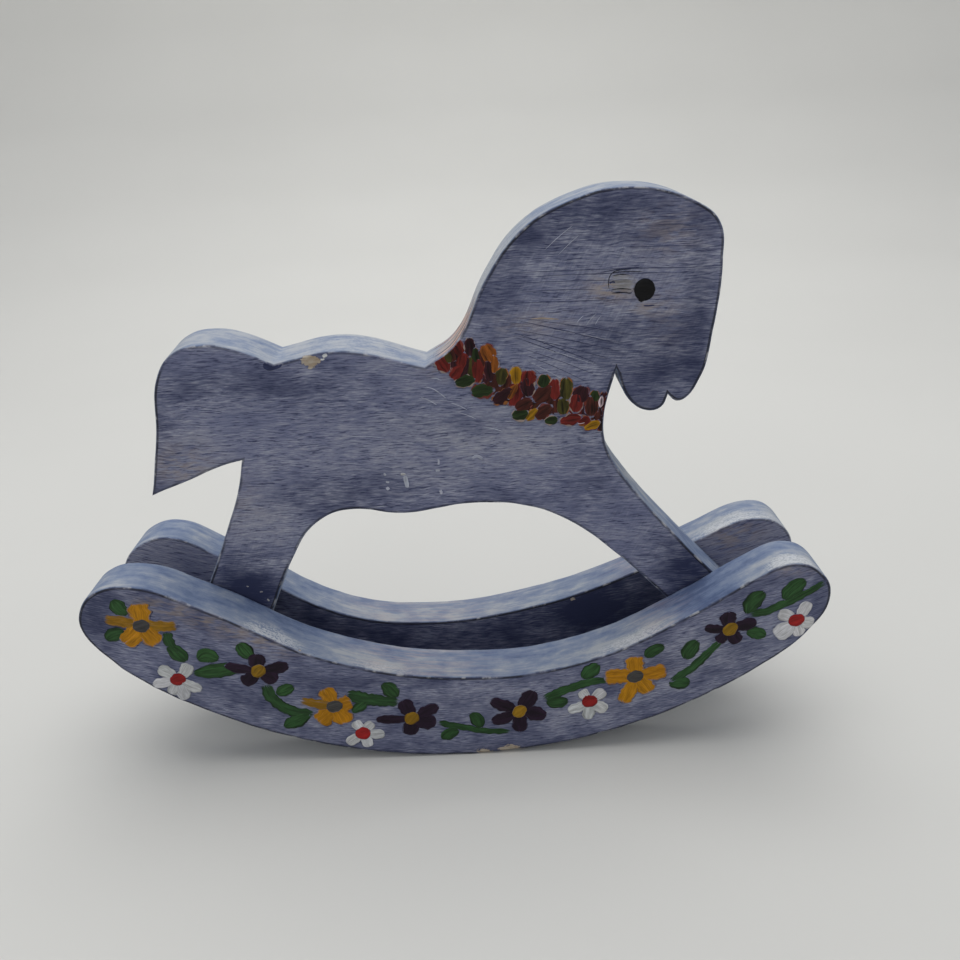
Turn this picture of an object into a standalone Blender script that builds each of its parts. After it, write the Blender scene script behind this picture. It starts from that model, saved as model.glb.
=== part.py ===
"""Rocking horse, a hand-painted shelf ornament.

Three boards of 19 mm pine: a horse cut in profile stands between two curved rockers.
The legs are glued and pinned to the rockers' inner faces. Units are metres, +Z up.
The horse faces +X, and the near rocker is on the -Y side.
"""
import math

import bmesh
import bpy

MM = 0.001

# driving sizes, in millimetres
BOARD = 19.0            # thickness of every board
GLUE_GAP = 0.3          # glue line between a leg and a rocker
EDGE_ROUND = 0.8        # sanded edges
RUN_RADIUS = 187.0      # radius of the rockers' running edge
RUN_CENTRE_X = 1.0      # where the running edge meets the shelf, at rest
RUN_POINTS = 9          # curve points on the running edge

# panel pins, 25 mm long, set below the painted face
PIN_LENGTH = 25.0
PIN_RADIUS = 0.7
PIN_HEAD_RADIUS = 0.95
PIN_HEAD_HEIGHT = 0.8
PIN_POINT = 1.6
PIN_SET = 3.0           # depth of filler over the pin's head
PIN_CLEARANCE = 0.3
PIN_SIDES = 20

# where each pin goes through, (x, z)
PIN_PLACES = {
    "rear_leg_back": (-86.3, 50.8),
    "rear_leg_front": (-75.4, 48.3),
    "front_leg_back": (83.9, 50.1),
    "front_leg_front": (93.8, 48.7),
}

# Outlines, as (x, z, kind) clockwise seen from the near side. "round" points join their
# neighbours in a smooth curve, "sharp" points are corners.
HORSE_OUTLINE = (
    (-102.3, 99.3, "sharp"),    # tip of the tail
    (-97.3, 121.4, "round"),
    (-93.5, 141.7, "round"),
    (-87.4, 148.9, "round"),
    (-77.7, 151.4, "round"),    # rump
    (-66.8, 149.4, "round"),
    (-54.8, 143.8, "sharp"),    # nick behind the seat
    (-32.9, 147.3, "round"),    # back
    (-5.6, 140.6, "sharp"),     # withers
    (4.2, 147.2, "round"),
    (15.1, 167.5, "round"),     # mane
    (25.7, 181.7, "round"),
    (42.2, 191.1, "round"),
    (61.4, 194.5, "round"),     # poll
    (81.1, 189.4, "round"),
    (89.4, 182.6, "round"),     # brow
    (90.8, 170.9, "round"),
    (88.6, 148.0, "round"),     # nose
    (84.9, 132.2, "round"),
    (77.7, 124.5, "round"),     # upper lip
    (74.5, 127.2, "sharp"),     # mouth
    (72.7, 122.9, "round"),
    (67.9, 121.7, "round"),     # chin
    (61.1, 126.4, "round"),
    (57.3, 136.6, "sharp"),     # throat
    (53.2, 118.6, "round"),     # chest
    (54.8, 108.5, "round"),
    (61.9, 96.4, "round"),
    (79.0, 75.4, "round"),      # front leg
    (103.8, 48.2, "sharp"),     # front foot, hidden between the rockers
    (86.8, 38.5, "sharp"),
    (71.4, 55.4, "round"),
    (56.7, 70.2, "round"),
    (41.3, 82.6, "round"),
    (26.6, 89.1, "round"),      # belly
    (7.6, 91.0, "round"),
    (-16.5, 88.4, "round"),
    (-36.4, 90.6, "round"),
    (-47.7, 85.7, "round"),
    (-57.3, 72.0, "round"),
    (-65.1, 55.3, "round"),
    (-72.3, 38.7, "sharp"),     # rear foot, hidden between the rockers
    (-98.1, 43.8, "sharp"),
    (-87.2, 65.9, "round"),     # rear leg
    (-77.6, 87.4, "round"),
    (-72.7, 99.7, "round"),
    (-69.9, 110.6, "sharp"),    # under the tail
    (-76.6, 109.0, "round"),
    (-88.9, 104.2, "round"),
)

# Each rocker's upper edge, from the bottom of the tail end to the bottom of the nose end.
# The boards were cut by hand, so the two hollows differ.
NEAR_ROCKER_TOP = (
    (-121.9, 48.2, "round"),
    (-127.6, 57.2, "round"),
    (-127.7, 64.7, "round"),    # tail end
    (-121.8, 72.4, "round"),
    (-109.2, 74.6, "round"),    # crest
    (-84.7, 64.3, "round"),
    (-45.6, 42.9, "round"),
    (4.0, 33.0, "round"),       # hollow
    (44.3, 37.5, "round"),
    (84.1, 56.1, "round"),
    (101.6, 66.9, "round"),
    (115.9, 72.2, "round"),     # crest
    (125.2, 67.5, "round"),
    (128.3, 58.6, "round"),     # nose end
    (121.2, 45.0, "round"),
)
FAR_ROCKER_TOP = (
    (-120.5, 47.3, "round"),
    (-126.1, 56.1, "round"),
    (-125.3, 63.1, "round"),    # tail end
    (-118.9, 71.3, "round"),
    (-106.2, 74.6, "round"),    # crest
    (-89.6, 66.4, "round"),
    (-45.8, 39.4, "round"),
    (-13.0, 33.7, "round"),     # hollow
    (26.3, 38.1, "round"),
    (65.9, 50.8, "round"),
    (91.5, 64.2, "round"),
    (112.9, 71.7, "round"),     # crest
    (122.7, 68.0, "round"),
    (127.0, 57.7, "round"),     # nose end
    (119.6, 44.1, "round"),
)
RUN_FROM_X, RUN_TO_X = 110.2, -111.9

# finishes: colour, roughness, metallic
BLUE_PAINT = ((0.125, 0.135, 0.215, 1.0), 0.55, 0.0)
ROCKER_PAINT = ((0.150, 0.155, 0.240, 1.0), 0.55, 0.0)
STEEL = ((0.560, 0.570, 0.580, 1.0), 0.35, 1.0)

SOLVER = "EXACT"


def clear_scene():
    for obj in list(bpy.data.objects):
        bpy.data.objects.remove(obj, do_unlink=True)


def new_collection(name, is_cutters=False):
    collection = bpy.data.collections.new(name)
    bpy.context.scene.collection.children.link(collection)
    collection.hide_render = is_cutters
    return collection


def new_material(name, finish):
    colour, roughness, metallic = finish
    material = bpy.data.materials.new(name)
    material.use_nodes = True
    shader = material.node_tree.nodes["Principled BSDF"]
    shader.inputs["Base Color"].default_value = colour
    shader.inputs["Roughness"].default_value = roughness
    shader.inputs["Metallic"].default_value = metallic
    material.diffuse_color = colour
    return material


def running_edge():
    """Points of the rocker's lower arc, from the nose end to the tail end."""
    start = math.asin((RUN_FROM_X - RUN_CENTRE_X) / RUN_RADIUS)
    end = math.asin((RUN_TO_X - RUN_CENTRE_X) / RUN_RADIUS)
    points = []
    for step in range(RUN_POINTS):
        angle = start + (end - start) * step / (RUN_POINTS - 1)
        x = RUN_CENTRE_X + RUN_RADIUS * math.sin(angle)
        z = RUN_RADIUS * (1.0 - math.cos(angle))
        points.append((x, z, "round"))
    return tuple(points)


def curve_from_outline(name, outline, collection):
    """A closed flat curve with caps, as thick as a board, standing in the XZ plane."""
    curve = bpy.data.curves.new(name + "_outline", "CURVE")
    curve.dimensions = "2D"
    curve.fill_mode = "BOTH"
    curve.extrude = BOARD / 2 * MM
    curve.resolution_u = 6
    spline = curve.splines.new("BEZIER")
    spline.bezier_points.add(len(outline) - 1)
    spline.use_cyclic_u = True
    for point, (x, z, kind) in zip(spline.bezier_points, outline):
        handle = "AUTO" if kind == "round" else "VECTOR"
        point.handle_left_type = handle
        point.handle_right_type = handle
        point.co = (x * MM, z * MM, 0.0)
    obj = bpy.data.objects.new(name + "_outline", curve)
    obj.rotation_euler.x = math.pi / 2
    collection.objects.link(obj)
    return obj


def mesh_from_curve(name, curve_obj, collection, y):
    """Turn the curve into a welded mesh object and place it at y, in millimetres."""
    bpy.context.view_layer.update()
    depsgraph = bpy.context.evaluated_depsgraph_get()
    mesh = bpy.data.meshes.new_from_object(curve_obj.evaluated_get(depsgraph))
    mesh.name = name
    weld = bmesh.new()
    weld.from_mesh(mesh)
    bmesh.ops.remove_doubles(weld, verts=weld.verts, dist=1e-5)
    bmesh.ops.recalc_face_normals(weld, faces=weld.faces)
    weld.to_mesh(mesh)
    weld.free()
    obj = bpy.data.objects.new(name, mesh)
    obj.matrix_world = curve_obj.matrix_world
    obj.location.y = y * MM
    collection.objects.link(obj)
    bpy.data.objects.remove(curve_obj, do_unlink=True)
    return obj


def round_edges(obj):
    bevel = obj.modifiers.new("sanded_edges", "BEVEL")
    bevel.width = EDGE_ROUND * MM
    bevel.segments = 2
    bevel.limit_method = "ANGLE"
    bevel.angle_limit = math.radians(50.0)


def make_board(name, outline, y, finish, collection):
    curve_obj = curve_from_outline(name, outline, collection)
    board = mesh_from_curve(name, curve_obj, collection, y)
    board.data.materials.clear()
    board.data.materials.append(new_material(name + "_paint", finish))
    round_edges(board)
    return board


def cut_pin_holes(board, y_from, y_to, label, cutters):
    """Drill a hole for each pin into a board, from y_from to y_to in millimetres."""
    depth = abs(y_to - y_from)
    for place, (x, z) in PIN_PLACES.items():
        bpy.ops.mesh.primitive_cylinder_add(
            vertices=PIN_SIDES,
            radius=(PIN_HEAD_RADIUS + PIN_CLEARANCE) * MM,
            depth=depth * MM,
            location=(x * MM, (y_from + y_to) / 2 * MM, z * MM),
            rotation=(math.pi / 2, 0.0, 0.0),
        )
        cutter = bpy.context.active_object
        cutter.name = f"{label}_{place}_hole"
        cutter.display_type = "WIRE"
        cutter.hide_render = True
        for owner in list(cutter.users_collection):
            owner.objects.unlink(cutter)
        cutters.objects.link(cutter)
        hole = board.modifiers.new(place + "_hole", "BOOLEAN")
        hole.operation = "DIFFERENCE"
        hole.solver = SOLVER
        hole.object = cutter


def make_pin(name, x, z, side, collection):
    """A panel pin turned about its own axis, its head towards the outer face."""
    outer_face = 1.5 * BOARD + GLUE_GAP
    head_end = outer_face - PIN_SET
    profile = (
        (0.0, head_end - PIN_LENGTH),
        (PIN_RADIUS, head_end - PIN_LENGTH + PIN_POINT),
        (PIN_RADIUS, head_end - PIN_HEAD_HEIGHT),
        (PIN_HEAD_RADIUS, head_end - PIN_HEAD_HEIGHT / 2),
        (PIN_HEAD_RADIUS, head_end),
        (0.0, head_end),
    )
    mesh = bpy.data.meshes.new(name)
    points = [(radius * MM, 0.0, along * MM) for radius, along in profile]
    edges = [(i, i + 1) for i in range(len(points) - 1)]
    mesh.from_pydata(points, edges, [])
    pin = bpy.data.objects.new(name, mesh)
    pin.location = (x * MM, 0.0, z * MM)
    pin.rotation_euler.x = -side * math.pi / 2
    collection.objects.link(pin)
    turn = pin.modifiers.new("turned", "SCREW")
    turn.axis = "Z"
    turn.steps = PIN_SIDES
    turn.render_steps = PIN_SIDES
    turn.use_merge_vertices = True
    turn.merge_threshold = 1e-5
    turn.use_normal_calculate = True
    turn.use_normal_flip = True
    mesh.materials.append(new_material(name + "_steel", STEEL))
    return pin


def build():
    clear_scene()
    parts = new_collection("rocking_horse")
    cutters = new_collection("cutters", is_cutters=True)
    rocker_y = BOARD + GLUE_GAP

    horse = make_board("horse_body", HORSE_OUTLINE, 0.0, BLUE_PAINT, parts)
    run = running_edge()
    near = make_board("near_rocker", NEAR_ROCKER_TOP + run, -rocker_y, ROCKER_PAINT, parts)
    far = make_board("far_rocker", FAR_ROCKER_TOP + run, rocker_y, ROCKER_PAINT, parts)

    inner_face = BOARD / 2 + GLUE_GAP
    pocket_end = 1.5 * BOARD + GLUE_GAP - PIN_SET + PIN_CLEARANCE
    pin_tip = pocket_end - PIN_LENGTH - 2 * PIN_CLEARANCE
    overshoot = 1.0
    for side, rocker, label in ((-1, near, "near"), (1, far, "far")):
        cut_pin_holes(rocker, side * (inner_face - GLUE_GAP / 2), side * pocket_end,
                      label + "_rocker", cutters)
        cut_pin_holes(horse, side * (BOARD / 2 + overshoot), side * pin_tip,
                      label + "_leg", cutters)
        for place, (x, z) in PIN_PLACES.items():
            make_pin(f"{label}_pin_{place}", x, z, side, parts)


build()
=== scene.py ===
"""The looks of a hand-painted wooden rocking horse: three sawn boards under slate-blue paint.

Flowers are painted on the rockers, and a garland and an eye on the horse. Lengths are in
millimetres until a mesh is made.
"""

import math
import random

import bmesh
import bpy
import numpy as np
from mathutils import Matrix, Vector
from mathutils.geometry import delaunay_2d_cdt
from mathutils.noise import noise as perlin


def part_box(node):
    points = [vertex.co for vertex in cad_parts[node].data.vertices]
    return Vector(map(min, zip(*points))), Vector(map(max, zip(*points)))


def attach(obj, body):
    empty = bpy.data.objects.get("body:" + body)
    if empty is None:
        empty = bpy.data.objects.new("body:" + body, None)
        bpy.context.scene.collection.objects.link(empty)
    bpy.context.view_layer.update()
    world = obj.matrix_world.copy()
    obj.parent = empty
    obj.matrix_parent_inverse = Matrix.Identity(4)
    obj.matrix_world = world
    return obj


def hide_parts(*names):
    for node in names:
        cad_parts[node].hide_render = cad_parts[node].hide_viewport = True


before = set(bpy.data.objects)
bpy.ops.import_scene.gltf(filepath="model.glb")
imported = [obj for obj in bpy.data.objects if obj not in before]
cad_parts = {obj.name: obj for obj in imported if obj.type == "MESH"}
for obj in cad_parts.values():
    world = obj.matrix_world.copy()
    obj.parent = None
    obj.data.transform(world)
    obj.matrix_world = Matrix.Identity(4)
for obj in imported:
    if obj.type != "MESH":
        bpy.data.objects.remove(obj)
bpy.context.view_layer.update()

MM = 0.001

# ---------------------------------------------------------------------------------------------
# Paint colours, as sRGB bytes of the paint itself

SLATE = {
    "navy": (74, 80, 112),
    "slate": (112, 117, 145),
    "light": (138, 141, 160),
    "warm_grey": (164, 163, 166),
    "groove": (50, 55, 84),
    "dry": (172, 176, 190),
    # deep is also laid as painted shade, on the far rocker's inner face and under the nick in the horse's
    # back.
    "deep": (44, 50, 80),
    "black_line": (24, 26, 34),
    "tan": (158, 144, 132),
    "edge_deep": (80, 95, 128),
    "edge_blue": (106, 121, 150),
    "edge_mid": (131, 142, 162),
    "edge_light": (166, 170, 176),
    "edge_white": (206, 208, 210),
    "rose": (204, 166, 144),
    "bare_wood": (148, 130, 108),
    "pale_wood": (178, 170, 158),
    "chalk": (196, 196, 198),
}
YELLOW = (164, 112, 12)
YELLOW_DEEP = (132, 96, 18)
FLOWER_GREY = (64, 63, 62)
WHITE = (186, 187, 189)
FLOWER_RED = (138, 28, 28)
PURPLE = (31, 17, 34)
FLOWER_OCHRE = (132, 100, 20)
LEAF = (39, 70, 37)
STEM = (40, 71, 39)
EYE_BLACK = (16, 16, 18)
GARLAND = {
    "red": (96, 28, 24),
    "maroon": (44, 17, 24),
    "brown": (68, 30, 24),
    "orange": (122, 68, 22),
    "olive": (60, 56, 22),
    "green": (32, 46, 20),
    "ochre": (144, 104, 14),
    "pink": (196, 176, 182),
}


GARLAND_UNDER = ((140, 86, 40), (112, 50, 40), (150, 132, 122))


def linear(rgb):
    """sRGB bytes to the linear numbers that sockets and attributes take."""
    values = [c / 255 for c in rgb]
    return [c / 12.92 if c <= 0.04045 else ((c + 0.055) / 1.055) ** 2.4 for c in values]


# ---------------------------------------------------------------------------------------------
# Boards

OUTLINE_STEP = 1.25
FACE_STEP = 1.7
CORNER_DEGREES = 28
ARRIS_STEPS = 4
FACE_HOLLOW = 0.12          # how far a face dips between its edges
FLOWER_SETBACK = 0.42       # keeps the raised flowers inside the CAD box
HORSE_RISE = 1.4
FAR_ROCKER_FALL = 1.2
RUN_RADIUS = 187
BAND_SHARES = (0.05, 0.2, 0.4, 0.6, 0.8, 0.95)
ARRIS_RADIUS = 0.95


def cad_outline(node, y):
    """The closed outline (x, z) where a plane of constant y cuts a CAD board, anticlockwise."""
    bm = bmesh.new()
    bm.from_mesh(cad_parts[node].data)
    bmesh.ops.remove_doubles(bm, verts=bm.verts, dist=1e-6)
    cut = bmesh.ops.bisect_plane(
        bm, geom=[*bm.verts, *bm.edges, *bm.faces], dist=1e-7, plane_co=(0, y * MM, 0), plane_no=(0, 1, 0)
    )["geom_cut"]
    neighbours = {}
    for edge in cut:
        if isinstance(edge, bmesh.types.BMEdge):
            a, b = edge.verts
            neighbours.setdefault(a, []).append(b)
            neighbours.setdefault(b, []).append(a)
    path = [min(neighbours, key=lambda v: (v.co.x, v.co.z))]
    path.append(max(neighbours[path[0]], key=lambda v: v.co.z))
    while True:
        ahead = [v for v in neighbours[path[-1]] if v is not path[-2]]
        if not ahead or ahead[0] is path[0]:
            break
        path.append(ahead[0])
    points = np.array([(v.co.x, v.co.z) for v in path]) / MM
    bm.free()
    following = np.roll(points, -1, axis=0)
    area = np.sum(points[:, 0] * following[:, 1] - following[:, 0] * points[:, 1])
    return points if area > 0 else points[::-1]


def turn_angles(points):
    """How far the outline turns at each point, in degrees; positive at an outside corner."""
    before = points - np.roll(points, 1, axis=0)
    after = np.roll(points, -1, axis=0) - points
    cross = before[:, 0] * after[:, 1] - before[:, 1] * after[:, 0]
    return np.degrees(np.arctan2(cross, np.sum(before * after, axis=1)))


def resampled(points):
    """Even steps along the outline, with its sharp corners kept."""
    corners = [i for i, angle in enumerate(turn_angles(points)) if abs(angle) > CORNER_DEGREES] or [0]
    points = np.roll(points, -corners[0], axis=0)
    corners = [i - corners[0] for i in corners] + [len(points)]
    closed = np.vstack([points, points[:1]])
    result, is_corner = [], []
    for start, end in zip(corners[:-1], corners[1:]):
        run = closed[start:end + 1]
        lengths = np.concatenate([[0], np.cumsum(np.linalg.norm(np.diff(run, axis=0), axis=1))])
        count = max(1, round(lengths[-1] / OUTLINE_STEP))
        for k in range(count):
            at = lengths[-1] * k / count
            result.append([np.interp(at, lengths, run[:, 0]), np.interp(at, lengths, run[:, 1])])
            is_corner.append(k == 0)
    result = np.array(result)
    free = ~np.array(is_corner)
    for _ in range(2):
        middle = (np.roll(result, 1, axis=0) + np.roll(result, -1, axis=0)) / 2
        result[free] += 0.35 * (middle - result)[free]
    return result


def outward(points):
    """The outward direction at each point, longer at a corner so that an inset keeps its width."""
    after = np.roll(points, -1, axis=0) - points
    edge_normal = np.stack([after[:, 1], -after[:, 0]], axis=1)
    edge_normal /= np.linalg.norm(edge_normal, axis=1)[:, None]
    both = edge_normal + np.roll(edge_normal, 1, axis=0)
    both /= np.linalg.norm(both, axis=1)[:, None]
    cosine = np.clip(np.sum(both * edge_normal, axis=1), 0.55, 1)
    return both / cosine[:, None]


def safe_radii(points, normals, radii):
    """The arris radii, made smaller wherever the inset outline would cross itself."""
    radii = radii.copy()
    edge = np.roll(points, -1, axis=0) - points
    for _ in range(40):
        inset = points - normals * radii[:, None]
        moved = np.roll(inset, -1, axis=0) - inset
        bad = np.sum(moved * edge, axis=1) < 0.2 * np.sum(edge * edge, axis=1)
        if not bad.any():
            break
        shrink = bad | np.roll(bad, 1)
        radii[shrink] *= 0.8
    return radii


def inside(points, polygon):
    """Which points lie inside a closed polygon."""
    x, z = points[:, 0][:, None], points[:, 1][:, None]
    ax, az = polygon[:, 0][None], polygon[:, 1][None]
    bx, bz = np.roll(polygon[:, 0], -1)[None], np.roll(polygon[:, 1], -1)[None]
    spans = (az > z) != (bz > z)
    rise = np.where(bz == az, 1e-9, bz - az)
    crossing = spans & (x < (bx - ax) * (z - az) / rise + ax)
    return crossing.sum(axis=1) % 2 == 1


def nearest_distance(points, targets):
    """Each point's distance to the nearest target."""
    best = np.full(len(points), np.inf)
    for start in range(0, len(targets), 64):
        gap = points[:, None, :] - targets[None, start:start + 64, :]
        best = np.minimum(best, np.sqrt((gap ** 2).sum(axis=2)).min(axis=1))
    return best


def blobs(spots, x, z):
    """The sum of soft spots (x, z, half width, half height, strength) at each point."""
    total = np.zeros(len(x))
    for cx, cz, rx, rz, strength in spots:
        total += strength * np.exp(-(((x - cx) / rx) ** 2) - ((z - cz) / rz) ** 2)
    return total


def chip_depth(chips, x, z):
    """How deep the arris is chipped at each point, in millimetres."""
    depth = np.zeros(len(x))
    for cx, cz, length, deep in chips:
        reach = ((x - cx) / (length / 2)) ** 2 + ((z - cz) / (length / 3.4)) ** 2
        depth = np.maximum(depth, deep * np.exp(-(reach ** 2)))
    return depth


class Board:
    """One sawn board: its outline, its two faces, and the zones of paint on them, some of which are painted
    shade.
    """

    def __init__(self, name, node, cut_y, insets, drift, grain_bend, spots, chips, seed, front_scumble=0.0):
        low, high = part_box(node)
        self.name, self.node, self.seed = name, node, seed
        self.near_y = low[1] / MM + insets[0]
        self.far_y = high[1] / MM - insets[1]
        self.centre_y = (self.near_y + self.far_y) / 2
        outline = resampled(cad_outline(node, cut_y))
        normals = outward(outline)
        wobble = np.array([perlin((p[0] / 9, p[1] / 9, seed)) for p in outline])
        self.outline = outline - normals * (0.08 + 0.08 * wobble)[:, None]
        steps = np.linalg.norm(np.roll(self.outline, -1, axis=0) - self.outline, axis=1)
        self.arc = np.concatenate([[0], np.cumsum(steps)])
        self.drift, self.grain_bend = drift, grain_bend
        self.spots, self.chips, self.front_scumble = spots, chips, front_scumble

    def outline_at(self, y):
        """The outline in the plane y: the saw leaned a little, so it changes through the board."""
        through = (y - self.near_y) / (self.far_y - self.near_y)
        return self.outline + self.drift(self.outline) * through

    def surface_data(self, x, z, y, rim, side, around):
        """The attributes that the paint materials read, for points anywhere on the board."""
        count = len(x)
        turn = 2 * math.pi * around / self.arc[-1]
        radius = self.arc[-1] / (2 * math.pi)
        face_co = np.stack([x, np.full(count, 40.0 * side + 7 * self.seed), z - self.grain_bend * x * x],
                           axis=1)
        band_co = np.stack([radius * np.cos(turn), radius * np.sin(turn), y - self.centre_y], axis=1)
        zones = np.zeros((count, 4))
        for channel, kind in enumerate(("dark", "warm", "pale")):
            on_face = blobs(self.spots[kind], x, z)
            on_band = blobs(self.spots["edge_" + kind], x, z)
            if kind == "pale":
                forward = np.clip(0.5 + (self.centre_y - y) / 12, 0, 1)
                on_band = on_band * (1 - self.front_scumble * (1 - forward))
            zones[:, channel] = on_face * (1 - rim) + on_band * rim
        upstroke = blobs(self.spots["upstroke"], x, z) * (1 - rim)
        return {"face_co": face_co, "band_co": band_co, "zones": zones, "rim": rim, "upstroke": upstroke}


def board_mesh(board):
    """The closed mesh of one board, with rounded and slightly chipped arrises and uneven faces."""
    rng = random.Random(board.seed)
    outline = board.outline
    normals = outward(outline)
    unevenness = np.array([perlin((p[0] / 6, p[1] / 6, board.seed + 5)) for p in outline])
    radii = safe_radii(outline, normals, ARRIS_RADIUS * (1 + 0.35 * unevenness))
    rings = []
    for k in range(ARRIS_STEPS + 1):
        angle = math.pi / 2 * k / ARRIS_STEPS
        rings.append((1 - math.sin(angle), 1 - math.cos(angle), 0.0, k / ARRIS_STEPS))
    for share in BAND_SHARES:
        rings.append((0.0, None, share, 1.0))
    thickness = board.far_y - board.near_y
    verts, rim, inset_mm, around, side = [], [], [], [], []

    def add_ring(inset, depth, share, edge_share, far):
        if depth is None:
            y = board.near_y + ARRIS_RADIUS + (thickness - 2 * ARRIS_RADIUS) * share
            ys = np.full(len(outline), y)
        else:
            ys = board.far_y - depth * radii if far else board.near_y + depth * radii
        base = outline + board.drift(outline) * ((ys - board.near_y) / thickness)[:, None]
        chips = chip_depth(board.chips["far" if far else "near"], outline[:, 0], outline[:, 1])
        chipped = chips * (1 - abs(edge_share - 0.45) * 1.2 if depth is not None else 0.0)
        points = base - normals * (inset * radii + chipped)[:, None]
        verts.extend((p[0], y, p[1]) for p, y in zip(points, ys))
        rim.extend([edge_share] * len(outline))
        inset_mm.extend(inset * radii)
        around.extend(board.arc[:-1])
        side.extend([1 if far else 0] * len(outline))

    for inset, depth, share, edge_share in rings:
        add_ring(inset, depth, share, edge_share, False)
    for inset, depth, share, edge_share in reversed(rings[:ARRIS_STEPS + 1]):
        add_ring(inset, depth, share, edge_share, True)
    count = len(outline)
    ring_total = len(verts) // count
    faces = []
    for ring in range(ring_total - 1):
        for i in range(count):
            j = (i + 1) % count
            a, b = ring * count, (ring + 1) * count
            faces.append((a + i, b + i, b + j, a + j))

    for far in (False, True):
        first = (ring_total - 1) * count if far else 0
        loop = np.array([(verts[first + i][0], verts[first + i][2]) for i in range(count)])
        low, high = loop.min(axis=0), loop.max(axis=0)
        grid = []
        row = 0
        z = low[1]
        while z < high[1]:
            x = low[0] + (FACE_STEP / 2 if row % 2 else 0)
            while x < high[0]:
                grid.append((x + rng.uniform(-0.3, 0.3), z + rng.uniform(-0.3, 0.3)))
                x += FACE_STEP
            z += FACE_STEP * 0.866
            row += 1
        grid = np.array(grid)
        grid = grid[inside(grid, loop)]
        grid = grid[nearest_distance(grid, loop) > 0.75 * OUTLINE_STEP]
        start = len(verts)
        y = board.far_y if far else board.near_y
        verts.extend((p[0], y, p[1]) for p in grid)
        rim.extend([0.0] * len(grid))
        inset_mm.extend(nearest_distance(grid, loop) + ARRIS_RADIUS)
        around.extend([0.0] * len(grid))
        side.extend([1 if far else 0] * len(grid))
        coords = [tuple(p) for p in np.vstack([loop, grid])]
        _, _, triangles, origins, _, _ = delaunay_2d_cdt(coords, [], [list(range(count))], 1, 1e-6)
        for triangle in triangles:
            corners = [origins[v][0] for v in triangle]
            corners = [first + c if c < count else start + c - count for c in corners]
            faces.append(tuple(reversed(corners)) if far else tuple(corners))

    verts = np.array(verts)
    rim, side = np.array(rim), np.array(side)
    hollow = np.array([0.5 + 0.5 * perlin((v[0] / 23, board.seed * 3.1 + 9 * s, v[2] / 11)) for v,
                       s in zip(verts, side)])
    verts[:, 1] += FACE_HOLLOW * hollow * (1 - rim) * np.where(side == 1, -1, 1)
    data = board.surface_data(verts[:, 0], verts[:, 2], verts[:, 1], rim, side, np.array(around))
    data["inset"] = np.array(inset_mm)
    depth = chip_depth(board.chips["near"], verts[:, 0], verts[:, 2]) * (side == 0)
    depth += chip_depth(board.chips["far"], verts[:, 0], verts[:, 2]) * (side == 1)
    from_face = np.minimum(verts[:, 1] - board.near_y, board.far_y - verts[:, 1])
    data["zones"][:, 3] = np.clip(depth * 1.6, 0, 1) * (from_face < 1.5 * ARRIS_RADIUS)
    return make_object(board.name, verts, faces, data)


def make_object(name, verts, faces, data):
    """A smooth-shaded object of a mesh given in millimetres, with its attributes."""
    mesh = bpy.data.meshes.new(name)
    mesh.from_pydata([tuple(v * MM for v in p) for p in verts], [], faces)
    mesh.validate()
    for key, values in data.items():
        values = np.asarray(values, dtype=float)
        if values.ndim == 1:
            mesh.attributes.new(key, "FLOAT", "POINT").data.foreach_set("value", values)
        elif values.shape[1] == 3:
            mesh.attributes.new(key, "FLOAT_VECTOR", "POINT").data.foreach_set("vector", values.ravel())
        else:
            mesh.attributes.new(key, "FLOAT_COLOR", "POINT").data.foreach_set("color", values.ravel())
    mesh.polygons.foreach_set("use_smooth", [True] * len(mesh.polygons))
    obj = bpy.data.objects.new(name, mesh)
    bpy.context.scene.collection.objects.link(obj)
    return obj


def no_drift(outline):
    return np.zeros_like(outline)


def horse_drift(outline):
    """The far face stands higher along the rump and the back, as a slanting saw cut would leave it."""
    x, z = outline[:, 0], outline[:, 1]
    along = np.clip((10 - x) / 40, 0, 1) * np.clip((z - 112) / 18, 0, 1)
    return np.stack([np.zeros(len(x)), HORSE_RISE * along], axis=1)


def far_rocker_drift(outline):
    """The far rocker's upper edge leans down towards its outer face."""
    x, z = outline[:, 0], outline[:, 1]
    run = RUN_RADIUS - np.sqrt(np.maximum(RUN_RADIUS ** 2 - np.clip(x - 1, -150, 150) ** 2, 1))
    above = z - 0.5 * run
    upper = np.clip((above - 14) / 12, 0, 1) * np.clip((118 - np.abs(x)) / 20, 0, 1)
    return np.stack([np.zeros(len(x)), -FAR_ROCKER_FALL * upper], axis=1)


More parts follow.
